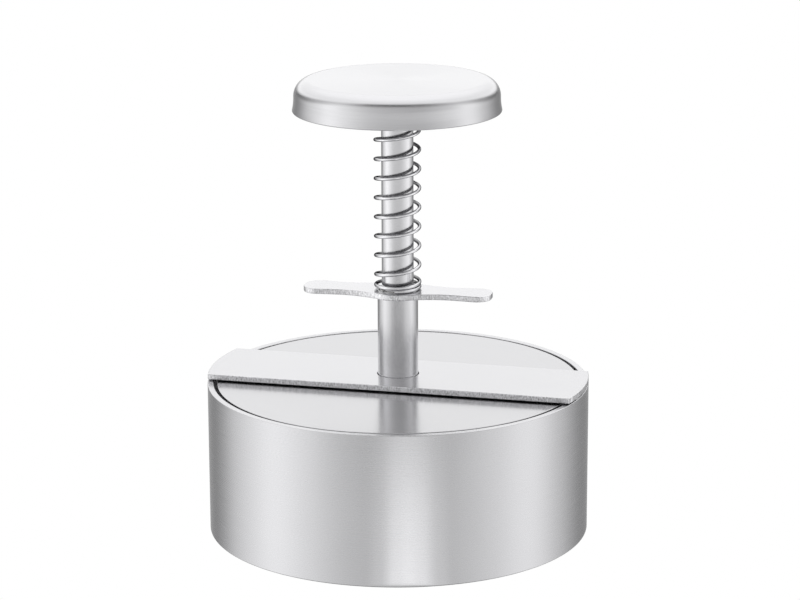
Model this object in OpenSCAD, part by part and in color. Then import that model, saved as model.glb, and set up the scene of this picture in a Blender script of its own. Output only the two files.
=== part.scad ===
// Patty press: a stainless mould ring with a spring-loaded press plate.
// The frame is the ring, the bar, the sleeve and the finger grip.
// The plunger is the knob, the rod and the plate, which slide along +Z together.
// Origin: centre of the ring's lower edge. +X runs along the bar, +Z up.

/* [Mould ring] */
// Outside diameter of the mould ring
ring_d = 120; // [90:1:150]
// Height of the mould ring
ring_h = 47.7; // [32:0.1:70]
// Wall thickness of the mould ring
ring_wall = 2; // [1.6:0.1:3]
// Chamfer on the ring's edges
ring_edge = 0.25; // [0.1:0.05:0.4]

/* [Cross bar] */
// Width of the bar that crosses the mould
bar_w = 31; // [20:0.5:40]
// Thickness of the bar
bar_t = 1.8; // [1.5:0.1:3]
// Height of the weld pads that hold the bar off the rim
pad_h = 0.3; // [0.2:0.05:1]
// Diameter of one weld pad
pad_d = 1.4; // [1:0.1:1.5]
// Distance between the two weld pads at each end of the bar
pad_pitch = 16; // [8:0.5:17]
// Chamfer around the sleeve's hole in the bar
bar_hole_edge = 0.4; // [0.2:0.1:0.8]

/* [Guide sleeve] */
// Wall thickness of the sleeve
sleeve_wall = 0.8; // [0.6:0.1:1.5]
// Wall thickness of the guide bushes inside the sleeve
bush_wall = 0.52; // [0.4:0.02:1]
// Clear height between the bar and the finger grip
finger_gap = 25.6; // [20:0.1:45]
// Length of each guide bush
bush_l = 10; // [6:0.5:12]
// Chamfer in the mouth of each guide bush
bush_edge = 0.2; // [0.1:0.05:0.3]

/* [Finger grip] */
// Length of the finger grip, tip to tip
grip_l = 60; // [54:0.5:80]
// Thickness of the finger grip
grip_t = 1.8; // [1.2:0.1:3]
// Width of the grip's land around the sleeve
grip_land = 2.65; // [2:0.05:4]
// Width of the grip at its two necks
grip_neck_w = 9.6; // [8:0.1:12]
// Width of the grip near its tips
grip_tip_w = 10.8; // [9:0.1:14]
// Corner radius of the grip's tips
grip_tip_r = 4.5; // [2:0.1:4.5]
// Radius of the four blends between the hub and the necks
grip_blend_r = 29.5; // [20:0.5:32]
// Turn of the grip on its sleeve, from the bar's direction
grip_turn = 1.4; // [-10:0.1:10]

/* [Return spring] */
// Gap between the coils and the push rod
coil_gap = 1.3; // [0.8:0.1:2]
// Diameter of the spring wire
wire_d = 1.1; // [0.8:0.02:1.4]
// Number of coils, with the closed ones
coil_turns = 11.1; // [8:0.1:11.2]
// Closed turns at each end
closed_turns = 0.95; // [0.75:0.05:1.5]
// Turns over which the pitch opens out
opening_turns = 0.75; // [0.4:0.05:1]
// Direction of the wire's lower end, from +X
coil_start = 276; // [0:1:359]
// How far the washer above the spring stands out around the coils
washer_lip = 0.6; // [0.2:0.1:1.5]
// Thickness of the washer above the spring
washer_t = 0.8; // [0.5:0.1:1.5]

/* [Push rod] */
// Diameter of the push rod
rod_d = 10; // [8:0.1:13]
// Width of the rod's shoulder under its threaded upper end
rod_shoulder = 1; // [0.8:0.1:1.2]
// Length of the rod's threaded upper end
rod_stud_l = 7.6; // [5:0.1:8]
// Chamfer on the rod's edges
rod_edge = 0.5; // [0.2:0.1:0.8]

/* [Knob] */
// Outside diameter of the knob at its rim
knob_d = 65; // [50:1:80]
// Height of the knob shell
knob_h = 9.8; // [9.5:0.1:14]
// Wall thickness of the knob shell
knob_wall = 1.2; // [0.8:0.1:1.6]
// Corner radius around the knob's top
knob_corner_r = 5; // [3:0.1:5.2]
// How far the knob's rim flares beyond its side
knob_flare = 0.55; // [0.3:0.05:1]
// Height of the flare
knob_flare_h = 4.4; // [1.5:0.1:4.5]
// Clear height between the finger grip and the knob's rim
knob_lift = 56.7; // [50:0.1:75]
// How far the hub stands out below the knob's rim
hub_drop = 0.2; // [-2:0.1:3]
// How far the hub stands out around the spring's washer
hub_lip = 1; // [0.5:0.1:3]
// Width of the hub's welded flange
hub_flange_w = 5; // [2:0.5:10]
// Thickness of the hub's welded flange
hub_flange_t = 1.5; // [1:0.1:2.5]
// Chamfer on the hub's edges
hub_edge = 0.5; // [0.2:0.1:1]

/* [Press plate] */
// Thickness of the press plate
plate_t = 3; // [2.8:0.1:4]
// Gap all round between the plate and the ring
plate_gap = 1; // [0.5:0.1:2]
// How far the plate lies below the ring's rim
plate_drop = 0.1; // [0.05:0.05:2]
// Chamfer on the plate's edges
plate_edge = 0.3; // [0.1:0.05:0.5]
// Diameter of the screw that holds the plate
screw_d = 5; // [4:0.5:5]
// Length of the screw, with its head
screw_l = 12; // [8:1:16]
// Diameter of the countersunk screw head
screw_head_d = 10; // [8.5:0.1:10]
// Width across the flats of the screw's hexagon socket
screw_key = 3; // [2.5:0.5:3]
// Depth of the hexagon socket
screw_key_depth = 2; // [1.5:0.1:2.2]
// How far the screw head lies below the plate's face
screw_sink = 0.1; // [0.05:0.05:0.2]
// How far the stop washer stands out around the sleeve
stop_lip = 1.65; // [0.5:0.05:3]

/* [Fits] */
// Radial clearance of the rod in its guide bushes
slide_gap = 0.03; // [0.01:0.01:0.08]
// Radial clearance of threads and of screws in their holes
thread_gap = 0.05; // [0.02:0.01:0.1]
// Radial clearance of washers on the rod
washer_gap = 0.1; // [0.05:0.05:0.3]
// Radial clearance of pressed and welded seats
seat_gap = 0; // [0:0.01:0.02]
// Rest gap between the stop washer and the sleeve
stop_gap = 0.1; // [0.05:0.05:0.3]

/* [Hidden] */
$fn = 96;

// Overlap of a cutting shape past the face that it cuts
cut = 1;

// Heights of the frame
bar_z = ring_h + pad_h;
bar_top = bar_z + bar_t;
grip_z = bar_top + finger_gap;
grip_top = grip_z + grip_t;

// Heights of the plunger at rest
plate_top = ring_h - plate_drop;
plate_z = plate_top - plate_t;
stop_t = bar_z - plate_top - stop_gap;
rim_z = grip_top + knob_lift;
knob_top = rim_z + knob_h;
hub_z = rim_z - hub_drop;
hub_top = knob_top - knob_wall;
seat_z = hub_z - washer_t;

// Diameters around the rod, from the inside out
rod_stud_d = rod_d - 2 * rod_shoulder;
bush_bore = rod_d + 2 * slide_gap;
sleeve_bore = bush_bore + 2 * bush_wall + 2 * seat_gap;
sleeve_d = sleeve_bore + 2 * sleeve_wall;
stop_d = sleeve_d + 2 * stop_lip;
coil_d = rod_d + 2 * coil_gap + wire_d;
washer_d = coil_d + wire_d + 2 * washer_lip;
hub_d = washer_d + 2 * hub_lip;
hub_flange_d = hub_d + 2 * hub_flange_w;

// Diameters inside the ring and the knob
plate_d = ring_d - 2 * ring_wall - 2 * plate_gap;
knob_side_r = knob_d / 2 - knob_flare;
screw_hole_d = screw_d + 2 * thread_gap;
// Depth left free past the screw's tip in the rod
screw_reserve = 2;

// Finger grip: where its hollow blends are centred, and so where its necks begin
grip_hub_r = sleeve_d / 2 + grip_land;
grip_blend_y = grip_neck_w / 2 + grip_blend_r;
grip_neck_x = sqrt(pow(grip_hub_r + grip_blend_r, 2) - pow(grip_blend_y, 2));

// Return spring: installed length and the pitch of its open coils
spring_l = seat_z - grip_top;
spring_pitch = (spring_l - wire_d * (1 + 2 * closed_turns + opening_turns))
    / (coil_turns - 2 * closed_turns - opening_turns);
rings_per_turn = 20;
wire_sides = 8;

// Rise of the wire after t turns, counted from its lower end up to half way
function lower_rise(t) =
    t < closed_turns ? wire_d * t
    : t < closed_turns + opening_turns
    ? wire_d * t + (spring_pitch - wire_d) * pow(t - closed_turns, 2) / (2 * opening_turns)
    : wire_d * t + (spring_pitch - wire_d) * (t - closed_turns - opening_turns / 2);

// Height of the wire's centre after t turns; the upper half mirrors the lower one
function wire_z(t) =
    t < coil_turns / 2
    ? grip_top + wire_d / 2 + lower_rise(t)
    : seat_z - wire_d / 2 - lower_rise(coil_turns - t);

function wire_ring(t) = [
    for (side = [0 : wire_sides - 1])
        let (turn = coil_start + 360 * t,
            around = 360 * side / wire_sides,
            r = coil_d / 2 + wire_d / 2 * sin(around))
        [r * cos(turn), r * sin(turn), wire_z(t) - wire_d / 2 * cos(around)]
];

// Points along an arc, up to its end but without it
function arc(centre, r, from, to) =
    let (steps = ceil(abs(to - from) / 3))
    [for (i = [0 : steps - 1])
        let (a = from + (to - from) * i / steps)
        centre + r * [cos(a), sin(a)]];

// Closed body through a row of rings that all have the same number of points
module swept_rings(rings, sides) {
    last = len(rings) - 1;
    points = [for (ring = rings) each ring];
    walls = [
        for (i = [0 : last - 1], j = [0 : sides - 1])
            let (a = i * sides + j, b = i * sides + (j + 1) % sides)
            each [[a, b, b + sides], [a, b + sides, a + sides]]
    ];
    lower_end = [[for (j = [sides - 1 : -1 : 0]) j]];
    upper_end = [[for (j = [0 : sides - 1]) last * sides + j]];
    polyhedron(points, concat(walls, lower_end, upper_end), convexity = 10);
}

// Round bar on the Z axis from z, with a chamfer at each end
module turned_bar(d, z, l, lower_edge, upper_edge) {
    rotate_extrude()
        polygon([
            [0, z],
            [d / 2 - lower_edge, z],
            [d / 2, z + lower_edge],
            [d / 2, z + l - upper_edge],
            [d / 2 - upper_edge, z + l],
            [0, z + l]
        ]);
}

// Flat ring on the Z axis from z
module flat_ring(d, bore, z, t) {
    translate([0, 0, z])
        difference() {
            cylinder(d = d, h = t);
            translate([0, 0, -cut]) cylinder(d = bore, h = t + 2 * cut);
        }
}

module mould_ring() {
    outer = ring_d / 2;
    inner = outer - ring_wall;
    color("silver")
        rotate_extrude($fn = 180)
            polygon([
                [inner + ring_edge, 0],
                [outer - ring_edge, 0],
                [outer, ring_edge],
                [outer, ring_h - ring_edge],
                [outer - ring_edge, ring_h],
                [inner + ring_edge, ring_h],
                [inner, ring_h - ring_edge],
                [inner, ring_edge]
            ]);
}

module cross_bar() {
    hole_d = sleeve_d + 2 * seat_gap;
    pad_r = (ring_d - ring_wall) / 2;
    pad_x = sqrt(pow(pad_r, 2) - pow(pad_pitch / 2, 2));
    color("gainsboro") {
        difference() {
            intersection() {
                translate([0, 0, bar_z]) cylinder(d = ring_d, h = bar_t, $fn = 180);
                translate([-ring_d / 2, -bar_w / 2, bar_z]) cube([ring_d, bar_w, bar_t]);
            }
            translate([0, 0, bar_z - cut]) cylinder(d = hole_d, h = bar_t + 2 * cut);
            translate([0, 0, bar_top - bar_hole_edge])
                cylinder(d1 = hole_d, d2 = hole_d + 2 * (bar_hole_edge + cut),
                    h = bar_hole_edge + cut);
        }
        for (x = [-pad_x, pad_x], y = [-pad_pitch / 2, pad_pitch / 2])
            translate([x, y, ring_h]) cylinder(d = pad_d, h = pad_h);
    }
}

module guide_sleeve() {
    color("silver") flat_ring(sleeve_d, sleeve_bore, bar_z, grip_top - bar_z);
}

// Liner of the sleeve from z up to z + bush_l, with a chamfer in both mouths
module guide_bush(z) {
    outer = sleeve_bore / 2 - seat_gap;
    inner = bush_bore / 2;
    color("whitesmoke")
        rotate_extrude()
            polygon([
                [inner + bush_edge, z],
                [outer, z],
                [outer, z + bush_l],
                [inner + bush_edge, z + bush_l],
                [inner, z + bush_l - bush_edge],
                [inner, z + bush_edge]
            ]);
}

module upper_guide_bush() {
    guide_bush(grip_top - bush_l);
}

module lower_guide_bush() {
    guide_bush(bar_z);
}

module grip_outline() {
    hub_side = atan2(grip_blend_y, grip_neck_x);
    neck = [grip_neck_x, grip_neck_w / 2];
    tip = [grip_l / 2 - grip_tip_r, grip_tip_w / 2 - grip_tip_r];
    // Direction in which the straight edge from the neck touches the tip's corner
    touch = atan2(neck.y - tip.y, neck.x - tip.x) - acos(grip_tip_r / norm(neck - tip));
    quarter = concat(
        arc([0, 0], grip_hub_r, 90, hub_side),
        arc([grip_neck_x, grip_blend_y], grip_blend_r, hub_side + 180, 270),
        [neck],
        arc(tip, grip_tip_r, touch, 0),
        [[grip_l / 2, tip.y]]
    );
    half = concat(quarter, [for (i = [len(quarter) - 1 : -1 : 1]) [quarter[i].x, -quarter[i].y]]);
    polygon(concat(half, [for (point = half) -point]));
}

module finger_grip() {
    color("gainsboro")
        translate([0, 0, grip_z])
            rotate(grip_turn)
                difference() {
                    linear_extrude(grip_t) grip_outline();
                    translate([0, 0, -cut])
                        cylinder(d = sleeve_d + 2 * seat_gap, h = grip_t + 2 * cut);
                }
}

module return_spring() {
    steps = round(coil_turns * rings_per_turn);
    color("lightgray")
        swept_rings([for (i = [0 : steps]) wire_ring(coil_turns * i / steps)], wire_sides);
}

module spring_washer() {
    color("silver") flat_ring(washer_d, rod_d + 2 * washer_gap, seat_z, washer_t);
}

module push_rod() {
    screw_hole_l = plate_z + screw_sink + screw_l + screw_reserve - plate_top;
    color("silver")
        difference() {
            union() {
                turned_bar(rod_d, plate_top, hub_z - plate_top, rod_edge, rod_edge);
                turned_bar(rod_stud_d, hub_z - cut, rod_stud_l + cut, 0, rod_edge);
            }
            translate([0, 0, plate_top - cut]) cylinder(d = screw_hole_d, h = screw_hole_l + cut);
        }
}

// Section of the knob shell's solid, with its side at radius r and its top at z = top
module knob_section(r, top, corner) {
    square([r, top - corner]);
    square([r - corner, top]);
    translate([r - corner, top - corner]) intersection() {
        circle(r = corner);
        square(corner);
    }
}

// Section of the flare from side radius r out to r + knob_flare, along a hollow arc
module flare_section(r) {
    flare_r = (pow(knob_flare_h, 2) + pow(knob_flare, 2)) / (2 * knob_flare);
    difference() {
        square([r + knob_flare, knob_flare_h]);
        translate([r + flare_r, knob_flare_h]) circle(r = flare_r, $fn = 180);
    }
}

module knob_shell() {
    color("gainsboro")
        translate([0, 0, rim_z])
            rotate_extrude($fn = 180)
                difference() {
                    union() {
                        knob_section(knob_side_r, knob_h, knob_corner_r);
                        flare_section(knob_side_r);
                    }
                    knob_section(knob_side_r - knob_wall, knob_h - knob_wall,
                        knob_corner_r - knob_wall);
                    flare_section(knob_side_r - knob_wall);
                    translate([0, -cut]) square([knob_d / 2 - knob_wall, cut]);
                }
}

module knob_hub() {
    color("silver")
        difference() {
            union() {
                turned_bar(hub_d, hub_z, hub_top - hub_z, hub_edge, 0);
                turned_bar(hub_flange_d, hub_top - hub_flange_t, hub_flange_t, hub_edge, 0);
            }
            translate([0, 0, hub_z - cut])
                cylinder(d = rod_stud_d + 2 * thread_gap, h = hub_top - hub_z + 2 * cut);
        }
}

// Screw head with its cone, lying on the plane z = 0 and growing upwards
module screw_head(d) {
    cone_h = (d - screw_d) / 2;
    cylinder(d1 = d, d2 = screw_d, h = cone_h);
}

module press_plate() {
    color("gainsboro")
        difference() {
            turned_bar(plate_d, plate_z, plate_t, plate_edge, plate_edge, $fn = 180);
            translate([0, 0, plate_z - cut]) cylinder(d = screw_hole_d, h = plate_t + 2 * cut);
            translate([0, 0, plate_z - cut]) cylinder(d = screw_head_d, h = screw_sink + cut);
            translate([0, 0, plate_z + screw_sink]) screw_head(screw_head_d);
        }
}

module plate_screw() {
    color("silver")
        translate([0, 0, plate_z + screw_sink])
            difference() {
                union() {
                    screw_head(screw_head_d);
                    turned_bar(screw_d, 0, screw_l, 0, rod_edge);
                }
                translate([0, 0, -cut])
                    cylinder(d = screw_key * 2 / sqrt(3), h = screw_key_depth + cut, $fn = 6);
            }
}

module stop_washer() {
    color("dimgray") flat_ring(stop_d, rod_d + 2 * washer_gap, plate_top, stop_t);
}

mould_ring();
cross_bar();
guide_sleeve();
upper_guide_bush();
lower_guide_bush();
finger_grip();
return_spring();
spring_washer();
push_rod();
knob_shell();
knob_hub();
press_plate();
plate_screw();
stop_washer();
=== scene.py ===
import math

import bmesh
import bpy
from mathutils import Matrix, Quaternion, Vector


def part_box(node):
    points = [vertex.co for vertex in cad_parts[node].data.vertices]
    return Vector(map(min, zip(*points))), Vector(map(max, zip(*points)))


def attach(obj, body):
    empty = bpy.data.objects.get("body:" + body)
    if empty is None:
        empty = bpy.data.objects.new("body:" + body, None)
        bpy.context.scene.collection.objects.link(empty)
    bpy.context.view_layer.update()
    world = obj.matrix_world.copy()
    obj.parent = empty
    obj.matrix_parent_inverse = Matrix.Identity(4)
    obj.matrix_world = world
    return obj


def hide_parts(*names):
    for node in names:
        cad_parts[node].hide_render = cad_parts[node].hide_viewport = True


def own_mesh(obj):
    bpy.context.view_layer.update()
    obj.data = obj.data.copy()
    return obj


# A patty press: a steel mould ring, a bar with a guide sleeve and a finger grip, and a plunger
# that a spring lifts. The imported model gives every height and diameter. All sizes are in metres.
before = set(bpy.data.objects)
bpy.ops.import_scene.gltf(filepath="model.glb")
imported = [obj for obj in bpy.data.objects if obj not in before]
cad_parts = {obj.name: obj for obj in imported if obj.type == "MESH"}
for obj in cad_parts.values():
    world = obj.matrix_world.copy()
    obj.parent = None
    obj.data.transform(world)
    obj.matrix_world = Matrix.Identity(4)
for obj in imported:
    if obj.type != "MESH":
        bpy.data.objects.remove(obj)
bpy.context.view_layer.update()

MM = 0.001
Z_AXIS = (0, 0, 1)
# Multiplies a vector to lay it flat
LEVEL = (1, 1, 0)

# Camera: angles in degrees, distances in metres, lens and sensor in millimetres
CAMERA_AZIMUTH = 14.1
CAMERA_ELEVATION = 14.78
CAMERA_DISTANCE = 0.918
CAMERA_LENS = 131.85
CAMERA_SENSOR = 36
CAMERA_ROLL = -0.2
AIM_HEIGHT = 0.07345
AIM_RIGHT = 0.00068

# Fineness of the round pieces and of the arcs in their outlines
SIDES = 256
BEAD_SIDES = 32
WIRE_SIDES = 16
ARC_STEPS = 5
KNOB_ARC_STEPS = 12
FLARE_STEPS = 10
CUT_EDGE_STEPS = 3

# Distances below which points share a height, merge, or lie on the Z axis
SAME_HEIGHT = 1e-6
MERGE = 1e-7
ON_AXIS = 1e-9

# Edges left by turning, blanking and polishing
RIM_EDGE = 0.35 * MM
SHEET_EDGE = 0.25 * MM
BAR_EDGE = 0.28 * MM
GRIP_EDGE = 0.3 * MM
ROD_EDGE = 0.5 * MM
FINE_EDGE = 0.15 * MM
# A face whose normal is more upright than this is a flat face, and any other a cut edge
FLAT_FACE = 0.8

# Groove left between the bar and the sleeve
HOLE_GAP = 0.2 * MM
# The grip's outline starts this far outside its hole
GRIP_SKIP = 0.5 * MM
# Weld beads: radius of their waist and of its round, as shares of their own radius
BEAD_WAIST = 0.7
BEAD_ROUND = 0.2

# Knob shell, and the flange of the hub inside it
KNOB_WALL = 1.2 * MM
KNOB_CORNER = 5 * MM
KNOB_FLARE = 0.55 * MM
KNOB_FLARE_H = 4.4 * MM
KNOB_LIP = 0.35 * MM
HUB_FLANGE = 1.5 * MM

# Press plate: the screw's head lies in a cone a little below the face
SCREW_HEAD_R = 5 * MM
SCREW_SINK = 0.1 * MM

# Return spring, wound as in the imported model
COIL_TURNS = 11.1
CLOSED_TURNS = 0.95
OPENING_TURNS = 0.75
COIL_START = math.radians(276)
POINTS_PER_TURN = 72
# Turns at each end that are made as pieces apart from the coils between them
SPRING_SPLIT = 1.2

# Finishes: the part of a noise that is spread over a finish's range, the share of the grain in its
# roughness (the rest is smudges), and how fine the smudges are
NOISE_LOW = 0.3
NOISE_HIGH = 0.7
GRAIN_SHARE = 0.75
SMUDGE_SCALE = 55.0
# How far a face turns to the Z axis (-1) or away from it (1) where the coils' painted shade starts and ends
SHADE_FROM = -0.6
SHADE_TO = 0.2

# Studio. Directions are degrees from the camera's own, towards its right.
# Brightness just below the horizon by direction
HORIZON = [
    (-180, 0.6), (-164, 0.42), (-150, 0.31), (-140, 0.36), (-128, 0.56), (-118, 0.82), (-106, 1.02),
    (-94, 1.2), (-80, 1.36), (-62, 1.2), (-50, 1.06), (-36, 0.9), (-20, 0.8), (0, 0.77), (20, 0.77),
    (35, 0.84), (52, 0.97), (66, 1.1), (82, 1.24), (94, 1.16), (106, 0.92), (120, 0.68), (133, 0.44),
    (146, 0.31), (162, 0.34), (180, 0.6)]
# How many times as bright it is just above the horizon, by direction
ABOVE_GAIN = [
    (-180, 1.2), (-80, 1.04), (-54, 0.96), (-30, 0.92), (0, 0.86), (30, 0.8), (60, 0.86), (85, 1.04),
    (180, 1.2)]
# Sines of the elevations between which the one changes into the other
HORIZON_FADE = (-0.04, 0.1)
# Wide box of light overhead, behind the object: elevation of its middle and brightness by the angle from it
OVERHEAD_LIFT = 60
OVERHEAD = [(0, 1.45), (28, 1.4), (38, 1.25), (46, 1.2), (53, 1.32), (180, 1.3)]
# Angles from its middle over which the box ends, and over which the dark gap round it ends
BOX_EDGE = (54, 62)
GAP_END = (68, 83)
# Share of the brightness left in the gap, by direction
GAP_LIGHT = [(-180, 0.35), (-70, 0.6), (-30, 0.12), (0, 0.05), (30, 0.12), (70, 0.6), (180, 0.35)]
# Sines of the elevations between which the light below fades into a dark floor, and that floor's brightness
DOWN_FADE = (-0.85, -0.45)
DOWN_LIGHT = 0.2
# Brightness that a ramp's white stands for
RAMP_TOP = 2.0

FLOOR_HALF = 20
# Sheets on the table in front, each a wedge that one height of the press mirrors: its brightness, the
# distances from the axis where it starts and ends and that of its wedge's point, and how well it covers
# the table by direction
SHEETS = {
    "bright_sheet": dict(light=1.4, near=0.061, far=0.2, point=0.03,
                         cover=[(-20, 0.0), (-11, 0.25), (-2, 0.85), (6, 1.0), (13, 0.85), (24, 0.25),
                                (32, 0.0)]),
    "dark_sheet": dict(light=0.42, near=0.21, far=0.32, point=0.0,
                       cover=[(-48, 0.0), (-28, 0.5), (-10, 1.0), (8, 1.0), (24, 0.5), (44, 0.0)]),
}
SHEET_STEPS = 24
SHEET_Z = 0.4 * MM


# ---------------------------------------------------------------- measures of the frame

def low(node_name):
    """Height of a CAD node's lowest point."""
    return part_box(node_name)[0].z


def high(node_name):
    """Height of a CAD node's highest point."""
    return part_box(node_name)[1].z


def vertices(node_name):
    """The points of a CAD node."""
    return [v.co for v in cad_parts[node_name].data.vertices]


def radii(node_name, bottom=-math.inf, top=math.inf):
    """Smallest and largest distance from the Z axis of a node's vertices between two heights."""
    found = [math.hypot(p.x, p.y) for p in vertices(node_name) if bottom < p.z < top]
    return min(found), max(found)


def level_points(node_name, height, digits=6):
    """The (x, y) of a node's vertices at one height, each once, rounded to so many digits."""
    level = [p for p in vertices(node_name) if abs(p.z - height) < SAME_HEIGHT]
    return {(round(p.x, digits), round(p.y, digits)) for p in level}


def top_outline(node_name, skip_r):
    """The points of a flat node's top face outside skip_r, in order round the Z axis."""
    found = [p for p in level_points(node_name, high(node_name)) if math.hypot(*p) > skip_r]
    return sorted(found, key=lambda p: math.atan2(p[1], p[0]))


def stud_radius():
    """Radius of the rod's stud, just below its top edge."""
    return radii("push_rod", bottom=high("push_rod") - 2 * ROD_EDGE)[1]


# ---------------------------------------------------------------- node trees

def node(tree, kind, inputs=(), **settings):
    """A new node. inputs maps a socket's name or number to a value or to another node's socket."""
    made = tree.nodes.new(kind)
    for name, value in settings.items():
        setattr(made, name, value)
    for key, value in dict(inputs).items():
        if isinstance(value, bpy.types.NodeSocket):
            tree.links.new(value, made.inputs[key])
        else:
            made.inputs[key].default_value = value
    return made


def math_node(tree, operation, *values):
    """The result of a sum or function of numbers or sockets."""
    return node(tree, "ShaderNodeMath", dict(enumerate(values)), operation=operation).outputs[0]


def ramp(tree, factor, stops, interpolation="EASE"):
    """A grey ColorRamp through (position, value) stops."""
    made = node(tree, "ShaderNodeValToRGB", {0: factor})
    made.color_ramp.interpolation = interpolation
    points = made.color_ramp.elements
    while len(points) > 1:
        points.remove(points[-1])
    points[0].position = stops[0][0]
    points[0].color = (stops[0][1],) * 3 + (1,)
    for position, value in stops[1:]:
        points.new(position).color = (value,) * 3 + (1,)
    return made.outputs[0]


def smooth_step(tree, value, start, end):
    """0 below start, 1 above end, and a soft change between them."""
    return node(tree, "ShaderNodeMapRange", {0: value, 1: start, 2: end},
                interpolation_type="SMOOTHSTEP").outputs[0]


def spread(tree, value, low_end=0.0, high_end=1.0, start=NOISE_LOW, end=NOISE_HIGH):
    """A value from start to end, by default the middle of a noise, spread over another range."""
    return node(tree, "ShaderNodeMapRange", {0: value, 1: start, 2: end, 3: low_end, 4: high_end}).outputs[0]


def grey_mix(tree, factor, first, second):
    """A number that goes from the first to the second as the factor goes from 0 to 1."""
    return node(tree, "ShaderNodeMix", {0: factor, 2: first, 3: second}, data_type="FLOAT").outputs[0]


def vector_node(tree, operation, *values):
    """The result of a sum or function of vectors."""
    return node(tree, "ShaderNodeVectorMath", dict(enumerate(values)), operation=operation).outputs[0]


def scaled(tree, vector, factor):
    """A vector or colour times a number."""
    return node(tree, "ShaderNodeVectorMath", {0: vector, "Scale": factor}, operation="SCALE").outputs[0]


def dot_product(tree, first, second):
    """The dot product of two vectors."""
    made = node(tree, "ShaderNodeVectorMath", {0: first, 1: second}, operation="DOT_PRODUCT")
    return made.outputs["Value"]


def new_material(name):
    """A material without nodes."""
    made = bpy.data.materials.new(name)
    made.use_nodes = True
    made.node_tree.nodes.clear()
    return made


def turned_grain(tree, around, across):
    """Coordinates that change slowly round the Z axis and fast along the surface across it."""
    place = node(tree, "ShaderNodeTexCoord").outputs["Object"]
    flat = vector_node(tree, "MULTIPLY", place, LEVEL)
    radius = node(tree, "ShaderNodeVectorMath", {0: flat}, operation="LENGTH").outputs["Value"]
    height = node(tree, "ShaderNodeSeparateXYZ", {0: place}).outputs["Z"]
    along = math_node(tree, "MULTIPLY", math_node(tree, "SUBTRACT", radius, height), across)
    lift = node(tree, "ShaderNodeCombineXYZ", {"Z": along}).outputs[0]
    return vector_node(tree, "ADD", scaled(tree, flat, around), lift)


def straight_grain(tree, scale):
    """Object coordinates stretched by one factor along each axis."""
    place = node(tree, "ShaderNodeTexCoord").outputs["Object"]
    return vector_node(tree, "MULTIPLY", place, scale)


def steel(name, grain, grey=0.62, rough=(0.24, 0.34), shade=0.04, relief=4e-6, stretch=0.6,
          turn=0.0, axis="Z", tint=(1.0, 0.998, 1.02), rim=1.0, inner_shade=None):
    """Brushed or polished steel. grain is a function that gives the coordinates of its marks.
    rough is the range of its roughness, shade the change of its grey and relief the marks' depth.
    Reflections are stretched along the tangent round the given axis, turned by a share of a turn.
    rim is how bright it stays at a grazing angle. The last argument is the share of the grey kept on faces
    turned to the Z axis: painted shade, as on the coils' side that faces the rod."""
    made = new_material(name)
    tree = made.node_tree
    marks = node(tree, "ShaderNodeTexNoise",
                 {"Vector": grain(tree), "Scale": 1.0, "Detail": 4.0, "Roughness": 0.6}).outputs["Fac"]
    place = node(tree, "ShaderNodeTexCoord").outputs["Object"]
    smudge = node(tree, "ShaderNodeTexNoise",
                  {"Vector": place, "Scale": SMUDGE_SCALE, "Detail": 3.0, "Roughness": 0.55}).outputs["Fac"]
    roughness = spread(tree, grey_mix(tree, GRAIN_SHARE, smudge, marks), *rough)
    darker = [grey * (1 - shade) * c for c in tint] + [1]
    lighter = [grey * (1 + shade) * c for c in tint] + [1]
    colour = node(tree, "ShaderNodeMix", {0: spread(tree, marks), 6: darker, 7: lighter},
                  data_type="RGBA").outputs[2]
    # Painted shade: the colour darkens on faces turned towards the Z axis, down to the given share.
    if inner_shade is not None:
        outward = vector_node(tree, "NORMALIZE", vector_node(tree, "MULTIPLY", place, LEVEL))
        faces = node(tree, "ShaderNodeNewGeometry").outputs["Normal"]
        turned = dot_product(tree, faces, outward)
        colour = scaled(tree, colour, spread(tree, turned, inner_shade, 1.0, start=SHADE_FROM, end=SHADE_TO))
    bump = node(tree, "ShaderNodeBump", {"Strength": 1.0, "Distance": relief, "Height": marks}).outputs[0]
    shader = node(tree, "ShaderNodeBsdfPrincipled",
                  {"Base Color": colour, "Metallic": 1.0, "Roughness": roughness, "Normal": bump,
                   "Anisotropic": stretch, "Anisotropic Rotation": turn, "Specular Tint": (rim, rim, rim, 1)})
    if stretch:
        tangent = node(tree, "ShaderNodeTangent", direction_type="RADIAL", axis=axis).outputs[0]
        tree.links.new(tangent, shader.inputs["Tangent"])
    node(tree, "ShaderNodeOutputMaterial", {"Surface": shader.outputs[0]})
    return made


def plastic(name, colour, rough=(0.35, 0.5), grain=900.0, relief=1e-5):
    """Moulded plastic or rubber with a fine pebbled skin."""
    made = new_material(name)
    tree = made.node_tree
    place = node(tree, "ShaderNodeTexCoord").outputs["Object"]
    pebbles = node(tree, "ShaderNodeTexNoise",
                   {"Vector": place, "Scale": grain, "Detail": 3.0}).outputs["Fac"]
    roughness = spread(tree, pebbles, *rough)
    darker = [c * 0.92 for c in colour] + [1]
    mixed = node(tree, "ShaderNodeMix", {0: pebbles, 6: darker, 7: (*colour, 1)},
                 data_type="RGBA").outputs[2]
    bump = node(tree, "ShaderNodeBump", {"Strength": 1.0, "Distance": relief, "Height": pebbles}).outputs[0]
    shader = node(tree, "ShaderNodeBsdfPrincipled",
                  {"Base Color": mixed, "Roughness": roughness, "Normal": bump})
    node(tree, "ShaderNodeOutputMaterial", {"Surface": shader.outputs[0]})
    return made


# ---------------------------------------------------------------- shapes

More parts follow.
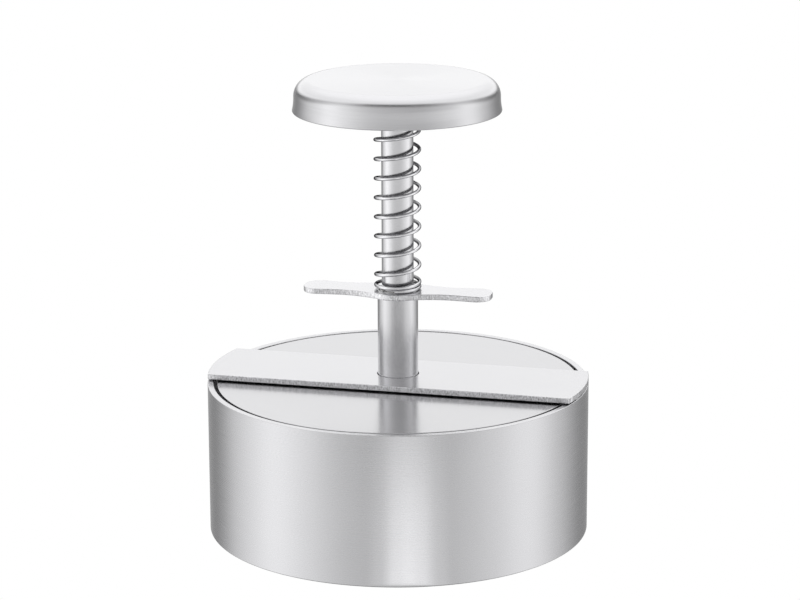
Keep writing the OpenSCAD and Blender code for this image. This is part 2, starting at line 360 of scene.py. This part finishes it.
def rounded(corners, steps=ARC_STEPS):
    """The points of a closed outline whose corners (x, y, radius) become arcs."""
    points = []
    for i, (x, y, radius) in enumerate(corners):
        here = Vector((x, y))
        if radius == 0:
            points.append(here)
            continue
        back = (Vector(corners[i - 1][:2]) - here).normalized()
        ahead = (Vector(corners[(i + 1) % len(corners)][:2]) - here).normalized()
        half = back.angle(ahead) / 2
        centre = here + (back + ahead).normalized() * radius / math.sin(half)
        start = here + back * radius / math.tan(half) - centre
        end = here + ahead * radius / math.tan(half) - centre
        angle = math.atan2(start.y, start.x)
        sweep = math.remainder(math.atan2(end.y, end.x) - angle, math.tau)
        for k in range(steps + 1):
            a = angle + sweep * k / steps
            points.append(centre + radius * Vector((math.cos(a), math.sin(a))))
    return points


def finish_piece(piece, body, slot, material, *replaced):
    """Gives a new piece its material and body, and hides the CAD nodes that it stands for. The slot is not
    used.
    """
    if material:
        piece.data.materials.append(material)
    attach(piece, body)
    if replaced:
        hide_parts(*replaced)
    return piece


def smooth(piece):
    """Smooth shading whose flat faces stay flat between their narrow rounded edges."""
    piece.data.polygons.foreach_set("use_smooth", [True] * len(piece.data.polygons))
    weighted = piece.modifiers.new("weighted_normals", "WEIGHTED_NORMAL")
    weighted.keep_sharp = True


def link(name, mesh):
    """A new object in the scene with the given data."""
    piece = bpy.data.objects.new(name, mesh)
    bpy.context.scene.collection.objects.link(piece)
    return piece


def lathe(name, outline, sides=SIDES):
    """A closed body of revolution about the Z axis from a closed outline of (radius, height) points."""
    bm = bmesh.new()
    rings = []
    for r, z in outline:
        if r < ON_AXIS:
            rings.append([bm.verts.new((0, 0, z))] * sides)
        else:
            angles = [math.tau * k / sides for k in range(sides)]
            rings.append([bm.verts.new((r * math.cos(a), r * math.sin(a), z)) for a in angles])
    for lower, upper in zip(rings, rings[1:] + rings[:1]):
        for k in range(sides):
            n = (k + 1) % sides
            corners = list(dict.fromkeys((lower[k], lower[n], upper[n], upper[k])))
            if len(corners) > 2:
                bm.faces.new(corners)
    bmesh.ops.recalc_face_normals(bm, faces=bm.faces)
    mesh = bpy.data.meshes.new(name)
    bm.to_mesh(mesh)
    bm.free()
    piece = link(name, mesh)
    smooth(piece)
    return piece


def cut_plate(name, outer, hole_r, bottom, top, edge):
    """A flat plate with the given outline, a round hole on the Z axis and rounded edges."""
    curve = bpy.data.curves.new(name, "CURVE")
    curve.dimensions = "2D"
    curve.fill_mode = "BOTH"
    curve.extrude = (top - bottom) / 2 - edge
    curve.bevel_depth = edge
    curve.offset = -edge
    curve.bevel_resolution = CUT_EDGE_STEPS
    hole = [(hole_r * math.cos(math.tau * k / SIDES), hole_r * math.sin(math.tau * k / SIDES))
            for k in range(SIDES)]
    for loop in (outer, hole):
        spline = curve.splines.new("POLY")
        spline.points.add(len(loop) - 1)
        spline.use_cyclic_u = True
        for point, (x, y) in zip(spline.points, loop):
            point.co = (x, y, 0, 1)
    drawn = link(name + ".curve", curve)
    bpy.context.view_layer.update()
    evaluated = drawn.evaluated_get(bpy.context.evaluated_depsgraph_get())
    mesh = bpy.data.meshes.new_from_object(evaluated)
    mesh.name = name
    bpy.data.objects.remove(drawn)
    bpy.data.curves.remove(curve)
    for v in mesh.vertices:
        v.co.z += (top + bottom) / 2
    bm = bmesh.new()
    bm.from_mesh(mesh)
    bmesh.ops.remove_doubles(bm, verts=bm.verts, dist=MERGE)
    bmesh.ops.recalc_face_normals(bm, faces=bm.faces)
    bm.to_mesh(mesh)
    bm.free()
    mesh.materials.clear()
    piece = link(name, mesh)
    smooth(piece)
    return piece


def paint_edges(piece, face_material, edge_material):
    """One material on the flat faces and another on the cut edges."""
    piece.data.materials.append(face_material)
    piece.data.materials.append(edge_material)
    for face in piece.data.polygons:
        face.material_index = 0 if abs(face.normal.z) > FLAT_FACE else 1


# ---------------------------------------------------------------- camera, floor and light

def heading(angle):
    """The level unit vector at an angle from the X axis."""
    return Vector((math.cos(angle), math.sin(angle), 0))


def add_camera():
    """The camera, in front of the press and a little to its right, aimed at a point near the axis."""
    a = math.radians(CAMERA_AZIMUTH)
    e = math.radians(CAMERA_ELEVATION)
    back = Vector((math.sin(a) * math.cos(e), -math.cos(a) * math.cos(e), math.sin(e)))
    data = bpy.data.cameras.new("camera")
    data.lens = CAMERA_LENS
    data.sensor_width = CAMERA_SENSOR
    camera = bpy.data.objects.new("camera", data)
    camera.location = Vector((0, 0, AIM_HEIGHT)) + AIM_RIGHT * heading(a) + CAMERA_DISTANCE * back
    roll = Quaternion(Z_AXIS, math.radians(CAMERA_ROLL))
    camera.rotation_euler = ((-back).to_track_quat("-Z", "Y") @ roll).to_euler()
    bpy.context.scene.collection.objects.link(camera)
    bpy.context.scene.camera = camera


def add_floor():
    """A wide white floor, lit so evenly that nothing shades it, and clear when seen from below."""
    corners = [(x * FLOOR_HALF, y * FLOOR_HALF, 0) for x, y in ((-1, -1), (1, -1), (1, 1), (-1, 1))]
    mesh = bpy.data.meshes.new("floor")
    mesh.from_pydata(corners, [], [(0, 1, 2, 3)])
    floor = link("floor", mesh)
    made = new_material("floor_white")
    tree = made.node_tree
    white = node(tree, "ShaderNodeEmission", {"Color": (1, 1, 1, 1), "Strength": 1.0})
    clear = node(tree, "ShaderNodeBsdfTransparent")
    behind = node(tree, "ShaderNodeNewGeometry").outputs["Backfacing"]
    shown = node(tree, "ShaderNodeMixShader", {0: behind, 1: white.outputs[0], 2: clear.outputs[0]})
    node(tree, "ShaderNodeOutputMaterial", {"Surface": shown.outputs[0]})
    mesh.materials.append(made)
    floor.visible_glossy = False
    floor.visible_diffuse = False
    floor.visible_shadow = False


def angle_ramp(tree, angle, stops, top=1.0, interpolation="EASE"):
    """A ramp by an angle in radians through (degrees, value) stops. top is what its white stands for."""
    start, end = stops[0][0], stops[-1][0]
    share = spread(tree, angle, start=math.radians(start), end=math.radians(end))
    return ramp(tree, share, [((a - start) / (end - start), v / top) for a, v in stops], interpolation)


def turned_round(tree, vector, angle):
    """A vector turned round the Z axis."""
    return node(tree, "ShaderNodeVectorRotate", {"Vector": vector, "Angle": angle},
                rotation_type="Z_AXIS").outputs[0]


def direction_of(tree, vector):
    """The angle round the Z axis from the X axis to a vector."""
    axes = node(tree, "ShaderNodeSeparateXYZ", {0: vector}).outputs
    return math_node(tree, "ARCTAN2", axes["Y"], axes["X"])


def add_studio():
    """Soft bands of light all round, as wide soft boxes give, and a pure white backdrop."""
    world = bpy.data.worlds.new("studio")
    bpy.context.scene.world = world
    world.use_nodes = True
    tree = world.node_tree
    tree.nodes.clear()
    towards = node(tree, "ShaderNodeTexCoord").outputs["Generated"]
    turned = turned_round(tree, towards, math.radians(90 - CAMERA_AZIMUTH))
    height = node(tree, "ShaderNodeSeparateXYZ", {0: turned}).outputs["Z"]
    direction = direction_of(tree, turned)
    lift = math.radians(OVERHEAD_LIFT)
    middle = (-math.cos(lift), 0, math.sin(lift))
    from_box = math_node(tree, "ARCCOSINE", dot_product(tree, turned, middle))
    past_box = smooth_step(tree, from_box, *map(math.radians, BOX_EDGE))
    past_gap = smooth_step(tree, from_box, *map(math.radians, GAP_END))
    horizon = angle_ramp(tree, direction, HORIZON, RAMP_TOP, "CARDINAL")
    below = grey_mix(tree, smooth_step(tree, height, *DOWN_FADE), DOWN_LIGHT / RAMP_TOP, horizon)
    gain = math_node(tree, "MULTIPLY", angle_ramp(tree, direction, ABOVE_GAIN, RAMP_TOP), RAMP_TOP)
    gap = grey_mix(tree, past_gap, angle_ramp(tree, direction, GAP_LIGHT), 1.0)
    bands = math_node(tree, "MULTIPLY", math_node(tree, "MULTIPLY", horizon, gain), gap)
    above = grey_mix(tree, past_box, angle_ramp(tree, from_box, OVERHEAD, RAMP_TOP), bands)
    light = grey_mix(tree, smooth_step(tree, height, *HORIZON_FADE), below, above)
    lit = node(tree, "ShaderNodeBackground", {"Color": light, "Strength": RAMP_TOP}).outputs[0]
    plain = node(tree, "ShaderNodeBackground", {"Color": (1, 1, 1, 1), "Strength": 1.0}).outputs[0]
    seen = node(tree, "ShaderNodeLightPath").outputs["Is Camera Ray"]
    mixed = node(tree, "ShaderNodeMixShader", {0: seen, 1: lit, 2: plain}).outputs[0]
    node(tree, "ShaderNodeOutputWorld", {"Surface": mixed})
    bpy.context.scene.view_settings.view_transform = "Standard"


def add_front_sheet(name, light, near, far, point, cover):
    """One of the SHEETS: a glowing wedge on the table that shows only in what the steel mirrors."""
    facing = math.radians(CAMERA_AZIMUTH - 90)
    start, end = cover[0][0], cover[-1][0]
    tip = heading(facing) * point + Vector((0, 0, SHEET_Z))
    verts = []
    for k in range(SHEET_STEPS + 1):
        along = heading(facing + math.radians(start + (end - start) * k / SHEET_STEPS))
        verts += [tip + along * (r - point) for r in (near, far)]
    mesh = bpy.data.meshes.new(name)
    mesh.from_pydata(verts, [], [(2 * k, 2 * k + 1, 2 * k + 3, 2 * k + 2) for k in range(SHEET_STEPS)])
    sheet = link(name, mesh)
    made = new_material(name)
    tree = made.node_tree
    place = node(tree, "ShaderNodeTexCoord").outputs["Object"]
    from_tip = vector_node(tree, "SUBTRACT", place, tip)
    covered = angle_ramp(tree, direction_of(tree, turned_round(tree, from_tip, -facing)), cover)
    glow = node(tree, "ShaderNodeEmission", {"Color": (1, 1, 1, 1), "Strength": light})
    clear = node(tree, "ShaderNodeBsdfTransparent")
    mixed = node(tree, "ShaderNodeMixShader", {0: covered, 1: clear.outputs[0], 2: glow.outputs[0]})
    node(tree, "ShaderNodeOutputMaterial", {"Surface": mixed.outputs[0]})
    mesh.materials.append(made)
    sheet.visible_camera = False
    sheet.visible_diffuse = False
    sheet.visible_shadow = False


# ---------------------------------------------------------------- materials

def make_materials():
    """Every finish of the press by its name."""
    return {
        "ring": steel("ring_brushed", lambda t: turned_grain(t, 60, 3000), rough=(0.22, 0.32),
                      stretch=0.8, turn=0.25, shade=0.03),
        "tube": steel("sleeve_satin", lambda t: turned_grain(t, 1500, 1500), rough=(0.16, 0.24),
                      stretch=0.3, turn=0.25, shade=0.03),
        "rod": steel("rod_satin", lambda t: turned_grain(t, 900, 1500), rough=(0.14, 0.22),
                     stretch=0.2, turn=0.25, shade=0.03, grey=0.68),
        "knob": steel("knob_satin", lambda t: turned_grain(t, 60, 3500), rough=(0.18, 0.26),
                      stretch=0.3, turn=0.25, shade=0.03),
        "plate": steel("plate_satin", lambda t: turned_grain(t, 80, 2500), grey=0.55, rough=(0.15, 0.21),
                       stretch=0.1, turn=0.25, shade=0.02),
        "bar": steel("bar_brushed", lambda t: straight_grain(t, (30, 4000, 4000)), grey=0.625,
                     rough=(0.16, 0.24), stretch=0.8, axis="X", shade=0.03),
        "bar_edge": steel("bar_cut_edge", lambda t: straight_grain(t, (3600, 3600, 1200)), grey=0.69,
                          rough=(0.3, 0.5), shade=0.5, relief=1e-5, stretch=0.0),
        "grip": steel("grip_satin", lambda t: straight_grain(t, (60, 3000, 3000)), grey=0.68,
                      rough=(0.2, 0.3), stretch=0.5, axis="X", shade=0.03),
        "grip_edge": steel("grip_cut_edge", lambda t: straight_grain(t, (3600, 3600, 1200)), grey=0.71,
                           rough=(0.25, 0.4), shade=0.45, relief=8e-6, stretch=0.0),
        # The wire's grey is darkened on its side towards the rod: painted shade.
        "wire": steel("spring_bright", lambda t: straight_grain(t, (1500, 1500, 1500)), grey=0.78,
                      rough=(0.1, 0.16), shade=0.03, relief=1e-6, stretch=0.0, rim=0.0, inner_shade=0.35),
        "inner": steel("turned_plain", lambda t: turned_grain(t, 60, 2500), grey=0.58, rough=(0.28, 0.38),
                       stretch=0.4, turn=0.25),
        "bush": plastic("bush_white", (0.78, 0.77, 0.73)),
        "rubber": plastic("stop_rubber", (0.05, 0.05, 0.052), rough=(0.5, 0.65), grain=1500.0),
    }


# ---------------------------------------------------------------- pieces

def add_tube(name, cad_node, edge, body, slot, material):
    """A turned tube with rounded edges in place of a CAD node."""
    inner, outer = radii(cad_node)
    bottom, top = low(cad_node), high(cad_node)
    outline = rounded([(inner, bottom, edge), (outer, bottom, edge), (outer, top, edge), (inner, top, edge)])
    finish_piece(lathe(name, outline), body, slot, material, cad_node)


def add_ring(materials):
    """The mould ring."""
    add_tube("ring_body", "mould_ring", RIM_EDGE, "press_frame", "ring_steel", materials["ring"])


def weld_bead(name, pad_points, bottom, top):
    """A waisted weld bead between two heights over the (x, y) points of a round pad."""
    across, along = zip(*pad_points)
    r = (max(across) - min(across)) / 2
    outline = rounded([(0, bottom, 0), (r, bottom, 0), (r * BEAD_WAIST, (bottom + top) / 2, r * BEAD_ROUND),
                       (r, top, 0), (0, top, 0)])
    bead = lathe(name, outline, BEAD_SIDES)
    bead.location = ((min(across) + max(across)) / 2, (min(along) + max(along)) / 2, 0)
    return bead


def add_cross_bar(materials):
    """The bar across the ring, and a weld bead on each of the CAD bar's four pads."""
    pads_low = low("cross_bar")
    bottom = low("guide_sleeve")
    outline = top_outline("cross_bar", radii("cross_bar")[1] / 2)
    hole_r = radii("guide_sleeve")[1] + HOLE_GAP
    bar = cut_plate("bar_plate", outline, hole_r, bottom, high("cross_bar"), BAR_EDGE)
    paint_edges(bar, materials["bar"], materials["bar_edge"])
    finish_piece(bar, "press_frame", "bar_steel", None, "cross_bar")
    pads = level_points("cross_bar", pads_low, digits=5)
    for side, side_name in ((-1, "front"), (1, "back")):
        for end, end_name in ((-1, "left"), (1, "right")):
            own = [p for p in pads if p[0] * end > 0 and p[1] * side > 0]
            bead = weld_bead(f"weld_bead_{end_name}_{side_name}", own, pads_low, bottom)
            finish_piece(bead, "press_frame", "bar_steel", materials["bar_edge"])


def add_sleeve(materials):
    """The sleeve that guides the rod."""
    add_tube("sleeve_tube", "guide_sleeve", FINE_EDGE, "press_frame", "sleeve_steel", materials["tube"])


def add_grip(materials):
    """The finger grip round the sleeve's upper end."""
    sleeve_r = radii("guide_sleeve")[1]
    outline = top_outline("finger_grip", sleeve_r + GRIP_SKIP)
    grip = cut_plate("grip_plate", outline, sleeve_r, low("finger_grip"), high("finger_grip"), GRIP_EDGE)
    paint_edges(grip, materials["grip"], materials["grip_edge"])
    finish_piece(grip, "press_frame", "grip_steel", None, "finger_grip")


def round_wire(diameter, material):
    """Geometry nodes that sweep a round section along a piece's edges."""
    tree = bpy.data.node_groups.new("round_wire", "GeometryNodeTree")
    tree.is_modifier = True
    tree.interface.new_socket("Geometry", in_out="INPUT", socket_type="NodeSocketGeometry")
    tree.interface.new_socket("Geometry", in_out="OUTPUT", socket_type="NodeSocketGeometry")
    centreline = node(tree, "NodeGroupInput").outputs[0]
    line = node(tree, "GeometryNodeMeshToCurve", {"Mesh": centreline}).outputs[0]
    section = node(tree, "GeometryNodeCurvePrimitiveCircle",
                   {"Resolution": WIRE_SIDES, "Radius": diameter / 2})
    tube = node(tree, "GeometryNodeCurveToMesh",
                {"Curve": line, "Profile Curve": section.outputs[0], "Fill Caps": True}).outputs[0]
    soft = node(tree, "GeometryNodeSetShadeSmooth", {"Geometry": tube}).outputs[0]
    painted = node(tree, "GeometryNodeSetMaterial", {"Geometry": soft, "Material": material}).outputs[0]
    node(tree, "NodeGroupOutput", {0: painted})
    return tree


def add_spring(materials):
    """The return spring in three lengths of wire. The middle one gets a mesh of its own."""
    inner, outer = radii("return_spring")
    wire_d = outer - inner
    coil_r = (outer + inner) / 2
    bottom = low("return_spring")
    top = high("return_spring")
    tight_turns = 2 * CLOSED_TURNS + OPENING_TURNS
    pitch = (top - bottom - wire_d * (1 + tight_turns)) / (COIL_TURNS - tight_turns)

    def rise(t):
        """Rise of the wire after t turns from an end."""
        if t < CLOSED_TURNS:
            return wire_d * t
        if t < CLOSED_TURNS + OPENING_TURNS:
            return wire_d * t + (pitch - wire_d) * (t - CLOSED_TURNS) ** 2 / (2 * OPENING_TURNS)
        return wire_d * t + (pitch - wire_d) * (t - CLOSED_TURNS - OPENING_TURNS / 2)

    def wire_point(t):
        """Middle of the wire after t turns from its lower end."""
        if t < COIL_TURNS / 2:
            height = bottom + wire_d / 2 + rise(t)
        else:
            height = top - wire_d / 2 - rise(COIL_TURNS - t)
        angle = COIL_START + math.tau * t
        return (coil_r * math.cos(angle), coil_r * math.sin(angle), height)

    def coils(name, start, end):
        """The wire from one number of turns to another, as a line that a modifier makes round."""
        steps = round((end - start) * POINTS_PER_TURN)
        points = [wire_point(start + (end - start) * k / steps) for k in range(steps + 1)]
        mesh = bpy.data.meshes.new(name)
        mesh.from_pydata(points, [(k, k + 1) for k in range(steps)], [])
        piece = link(name, mesh)
        piece.modifiers.new("round_wire", "NODES").node_group = wire
        return piece

    wire = round_wire(wire_d, materials["wire"])
    lower = coils("spring_end_lower", 0, SPRING_SPLIT)
    open_coils = coils("spring_coils", SPRING_SPLIT, COIL_TURNS - SPRING_SPLIT)
    upper = coils("spring_end_upper", COIL_TURNS - SPRING_SPLIT, COIL_TURNS)
    finish_piece(lower, "press_frame", "spring_wire", materials["wire"], "return_spring")
    finish_piece(open_coils, "press_frame", "spring_wire", materials["wire"], "return_spring")
    finish_piece(upper, "spring_seat", "spring_wire", materials["wire"])
    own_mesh(open_coils)


def add_rod(materials):
    """The rod, stepped at its top for the spring washer and the hub."""
    outer = radii("push_rod")[1]
    stud = stud_radius()
    shoulder = high("spring_washer")
    outline = rounded([(0, low("push_rod"), 0), (outer, low("push_rod"), ROD_EDGE),
                       (outer, shoulder, FINE_EDGE), (stud, shoulder, 0),
                       (stud, high("push_rod"), ROD_EDGE), (0, high("push_rod"), 0)])
    finish_piece(lathe("rod_bar", outline), "plunger", "rod_steel", materials["rod"], "push_rod")


def add_knob(materials):
    """The drawn knob shell: a wide round corner, a straight side and a hollow flare down to the rim."""
    rim_r = radii("knob_shell")[1]
    rim = low("knob_shell")
    top = high("knob_shell")
    side = rim_r - KNOB_FLARE
    flare_r = (KNOB_FLARE_H ** 2 + KNOB_FLARE ** 2) / (2 * KNOB_FLARE)

    def flare(r):
        """Points from a side at radius r down along a hollow arc, without the one at the rim."""
        drops = [KNOB_FLARE_H * k / FLARE_STEPS for k in range(FLARE_STEPS)]
        return [(r + flare_r - math.sqrt(flare_r ** 2 - d ** 2), rim + KNOB_FLARE_H - d, 0) for d in drops]

    inner = side - KNOB_WALL
    corners = [(0, top, 0), (side, top, KNOB_CORNER), *flare(side), (rim_r, rim, KNOB_LIP),
               (rim_r - KNOB_WALL, rim, FINE_EDGE), *reversed(flare(inner)),
               (inner, top - KNOB_WALL, KNOB_CORNER - KNOB_WALL), (0, top - KNOB_WALL, 0)]
    shell = lathe("knob_cap", rounded(corners, KNOB_ARC_STEPS))
    finish_piece(shell, "plunger", "knob_steel", materials["knob"], "knob_shell")


def add_hub(materials):
    """The hub that joins the rod's stud to the knob."""
    stud = stud_radius()
    flange = radii("knob_hub")[1]
    shoulder = low("knob_hub")
    top = high("knob_hub")
    hub_r = radii("knob_hub", top=shoulder + 2 * ROD_EDGE)[1]
    flange_z = top - HUB_FLANGE
    outline = rounded([(stud, shoulder, 0), (hub_r, shoulder, ROD_EDGE), (hub_r, flange_z, ROD_EDGE),
                       (flange, flange_z, ROD_EDGE), (flange, top, 0), (stud, top, 0)])
    finish_piece(lathe("hub_boss", outline), "plunger", "hub_steel", materials["inner"], "knob_hub")


def add_press_plate(materials):
    """The press plate, with the screw's countersink from below."""
    inner, outer = radii("press_plate")
    bottom = low("press_plate")
    top = high("press_plate")
    cone_top = bottom + SCREW_SINK + SCREW_HEAD_R - inner
    outline = rounded([(inner, top, 0), (outer, top, SHEET_EDGE), (outer, bottom, SHEET_EDGE),
                       (SCREW_HEAD_R, bottom, FINE_EDGE / 3), (SCREW_HEAD_R, bottom + SCREW_SINK, 0),
                       (inner, cone_top, 0)])
    finish_piece(lathe("plate_disc", outline), "plunger", "plate_steel", materials["plate"], "press_plate")


def add_washers(materials):
    """The washer under the spring's upper end, and the stop washer on the plate."""
    add_tube("seat_washer", "spring_washer", FINE_EDGE, "spring_seat", "washer_steel", materials["inner"])
    add_tube("stop_disc", "stop_washer", FINE_EDGE, "plunger", "stop_rubber", materials["rubber"])


def paint_cad_nodes(materials):
    """The nodes whose exact CAD shape is shown get their finish here."""
    shown = {"upper_guide_bush": "bush", "lower_guide_bush": "bush", "plate_screw": "inner"}
    for name, finish in shown.items():
        for material_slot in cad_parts[name].material_slots:
            material_slot.material = materials[finish]


add_camera()
add_floor()
add_studio()
for sheet_name, sheet in SHEETS.items():
    add_front_sheet(sheet_name, **sheet)
finishes = make_materials()
add_ring(finishes)
add_cross_bar(finishes)
add_sleeve(finishes)
add_grip(finishes)
add_spring(finishes)
add_rod(finishes)
add_knob(finishes)
add_hub(finishes)
add_press_plate(finishes)
add_washers(finishes)
paint_cad_nodes(finishes)

bpy.context.view_layer.update()
